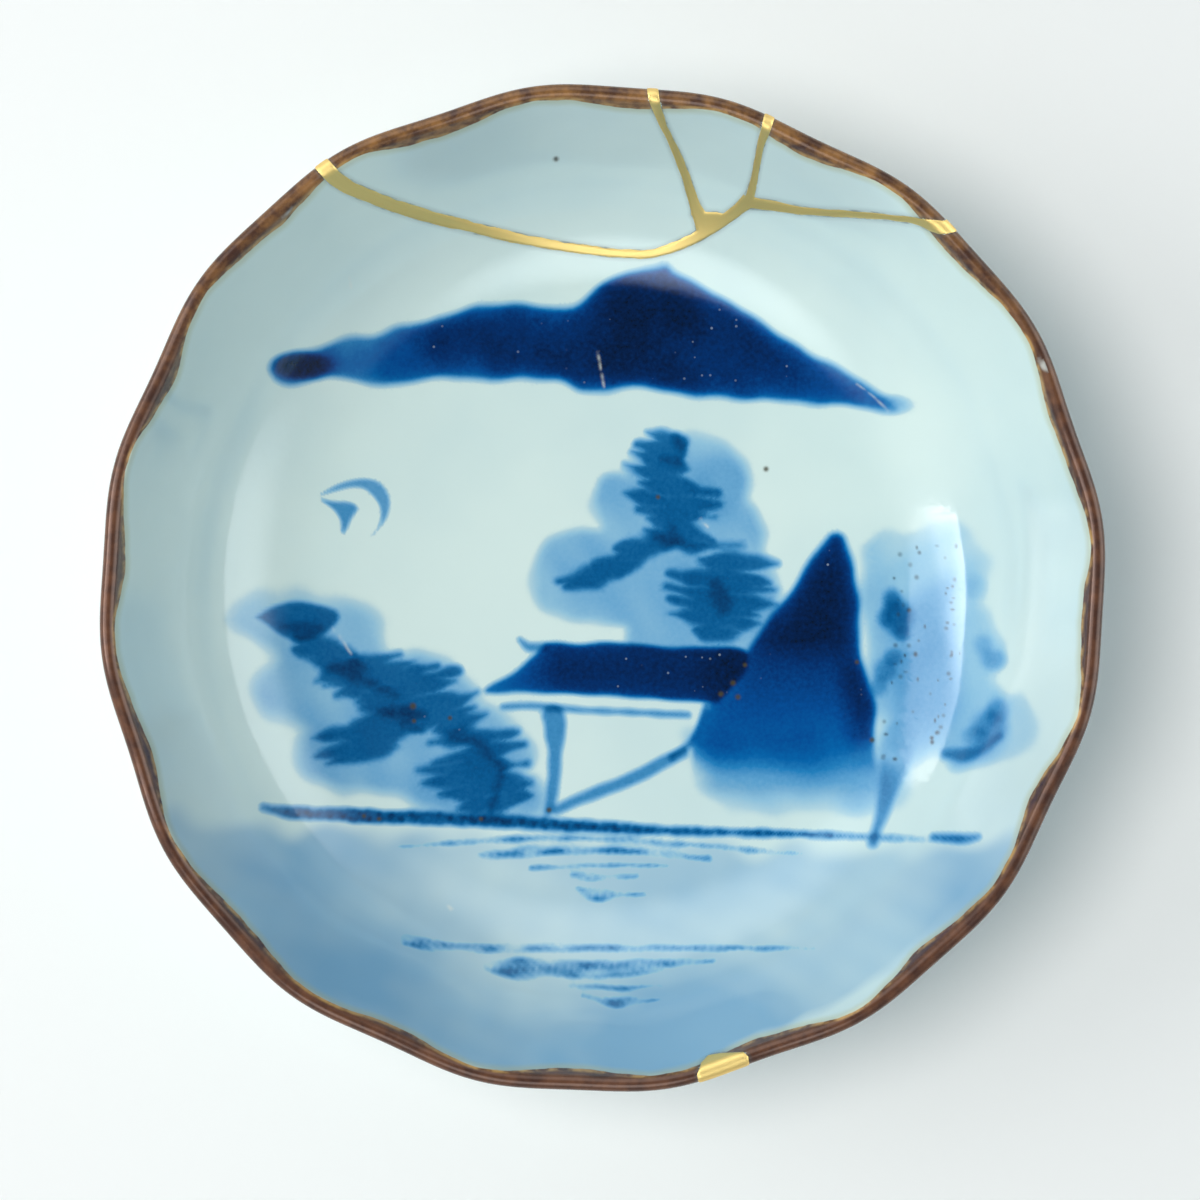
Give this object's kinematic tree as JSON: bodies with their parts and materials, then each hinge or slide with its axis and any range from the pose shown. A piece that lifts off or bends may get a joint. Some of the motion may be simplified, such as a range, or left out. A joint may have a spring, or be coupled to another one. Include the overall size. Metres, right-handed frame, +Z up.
{
  "type": "kintsugi bowl",
  "caption": "Shallow lobed porcelain bowl on a foot ring, painted with a lake landscape in blue, its broken rim mended with gold lacquer, for serving small food or for display.",
  "frame": {"origin": "under the middle of the bowl, at the level that the foot ring stands on", "axes": "+Z up out of the bowl, +Y towards the broken and mended part of the rim, +X to the right of the painted picture"},
  "size_m": [0.1495, 0.1498, 0.042],
  "materials": {
    "porcelain": "gloss",
    "gold_lacquer": "satin"
  },
  "bodies": {
    "root": {"bowl_body": "porcelain", "rim_shard_left": "porcelain", "rim_shard_middle": "porcelain", "rim_shard_right": "porcelain", "gold_seam": "gold_lacquer", "gold_chip_fill": "gold_lacquer"}
  },
  "joints": []
}
